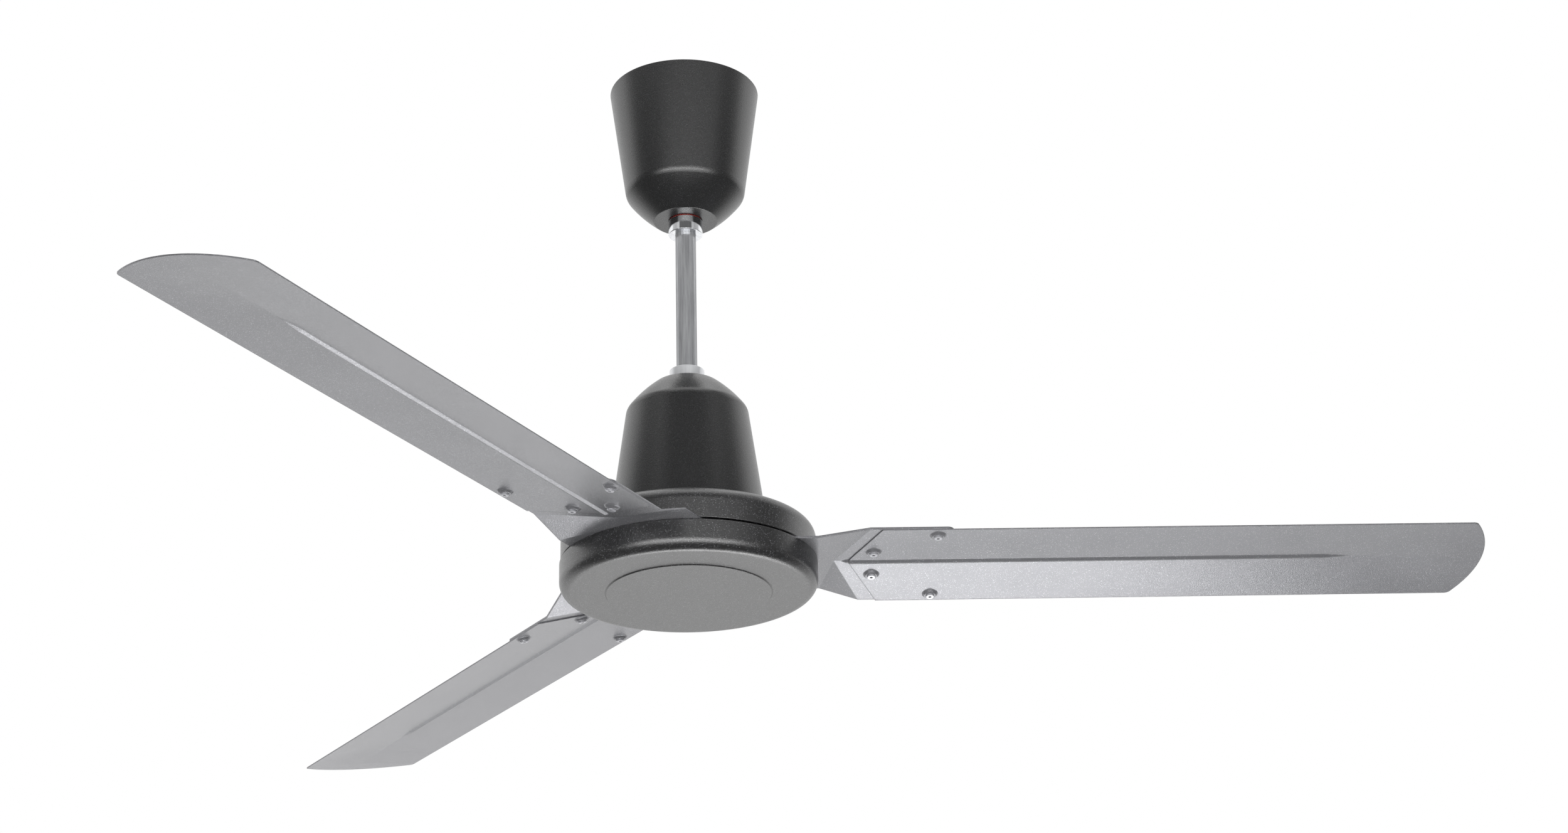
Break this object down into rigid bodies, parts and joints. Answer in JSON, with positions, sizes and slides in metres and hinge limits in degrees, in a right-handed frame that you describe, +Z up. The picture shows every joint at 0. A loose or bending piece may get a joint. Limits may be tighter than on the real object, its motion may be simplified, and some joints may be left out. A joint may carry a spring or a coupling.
{
  "type": "ceiling fan",
  "caption": "Ceiling fan: a shallow round motor hub with pressed blades on folded arms, hung on a downrod with tapered cup canopies, turning freely to move the air of a room.",
  "frame": {"origin": "middle of the ceiling bracket's top face, where it meets the ceiling", "axes": "+Z up into the ceiling, +X along the bracket's two screw holes and towards the first blade"},
  "size_m": [1.0962, 1.2423, 0.4948],
  "materials": {
    "zinc_steel": "bright zinc plate",
    "bright_rod": "bright zinc plate on tube",
    "ground_steel": "ground",
    "bearing_steel": "polished",
    "cage_brass": "stamped",
    "brass_screws": "turned",
    "laminated_steel": "stacked sheets",
    "copper_winding": "enamelled copper",
    "cast_aluminium": "as cast",
    "graphite_shell": "dark graphite satin paint with fine sparkle",
    "graphite_canopy": "dark graphite satin paint with fine sparkle",
    "silver_blade": "silver grey metallic paint",
    "silver_arm": "silver grey metallic paint",
    "rivet_steel": "painted over with the blade",
    "red_rubber": "matt",
    "black_rubber": "matt",
    "white_plastic": "moulded",
    "dark_plastic": "moulded",
    "grey_sheath": "extruded sheath"
  },
  "bodies": {
    "bracket": {"ceiling_bracket": "zinc_steel", "hanger_bolt": "zinc_steel", "hanger_washers": "zinc_steel", "hanger_sleeve": "zinc_steel", "hanger_nut": "zinc_steel", "hanger_split_pin": "zinc_steel"},
    "stem": {"hanger_bush": "black_rubber", "downrod": "bright_rod", "terminal_clip": "zinc_steel", "terminal_block": "white_plastic", "terminal_screws": "brass_screws", "motor_cable": "grey_sheath", "capacitor_clip": "zinc_steel", "capacitor": "dark_plastic", "coupling_bolt": "zinc_steel", "coupling_nut": "zinc_steel", "coupling_split_pin": "zinc_steel", "motor_shaft": "ground_steel", "upper_bearing_inner": "bearing_steel", "lower_bearing_inner": "bearing_steel", "stator_core": "laminated_steel", "stator_winding": "copper_winding"},
    "rotor": {"upper_shell": "graphite_shell", "lower_shell": "graphite_shell", "housing_screws": "zinc_steel", "rotor_core": "laminated_steel", "rotor_end_rings": "cast_aluminium", "upper_bearing_outer": "bearing_steel", "lower_bearing_outer": "bearing_steel", "arm_1": "silver_arm", "arm_2": "silver_arm", "arm_3": "silver_arm", "blade_1": "silver_blade", "blade_2": "silver_blade", "blade_3": "silver_blade", "blade_rivets": "rivet_steel"},
    "ball_train": {"upper_bearing_balls": "bearing_steel", "upper_bearing_cage": "cage_brass", "lower_bearing_balls": "bearing_steel", "lower_bearing_cage": "cage_brass"},
    "upper_cover": {"upper_canopy": "graphite_canopy", "upper_gasket": "red_rubber", "upper_collar": "bright_rod", "upper_collar_nut": "zinc_steel", "upper_set_screw": "zinc_steel"},
    "lower_cover": {"lower_canopy": "graphite_canopy", "lower_gasket": "red_rubber", "lower_collar": "bright_rod", "lower_collar_nut": "zinc_steel", "lower_set_screw": "zinc_steel"}
  },
  "joints": [
    {"name": "hanger_tilt", "type": "hinge", "parent": "bracket", "child": "stem", "pos_m": [0, 0, -0.052], "axis": [1, 0, 0], "range_deg": [-2, 2], "stiffness_Nm_per_rad": 12},
    {"name": "rotor_spin", "type": "hinge", "parent": "stem", "child": "rotor", "pos_m": [0, 0, -0.467], "axis": [0, 0, 1], "continuous": true},
    {"name": "ball_spin", "type": "hinge", "parent": "stem", "child": "ball_train", "pos_m": [0, 0, -0.467], "axis": [0, 0, 1], "continuous": true},
    {"name": "upper_cover_slide", "type": "slide", "parent": "stem", "child": "upper_cover", "axis": [0, 0, -1], "range_m": [0, 0.08]},
    {"name": "lower_cover_slide", "type": "slide", "parent": "stem", "child": "lower_cover", "axis": [0, 0, 1], "range_m": [0, 0.05]}
  ],
  "couplings": [
    {"joint": "ball_spin", "follows": "rotor_spin", "ratio": 0.618}
  ]
}
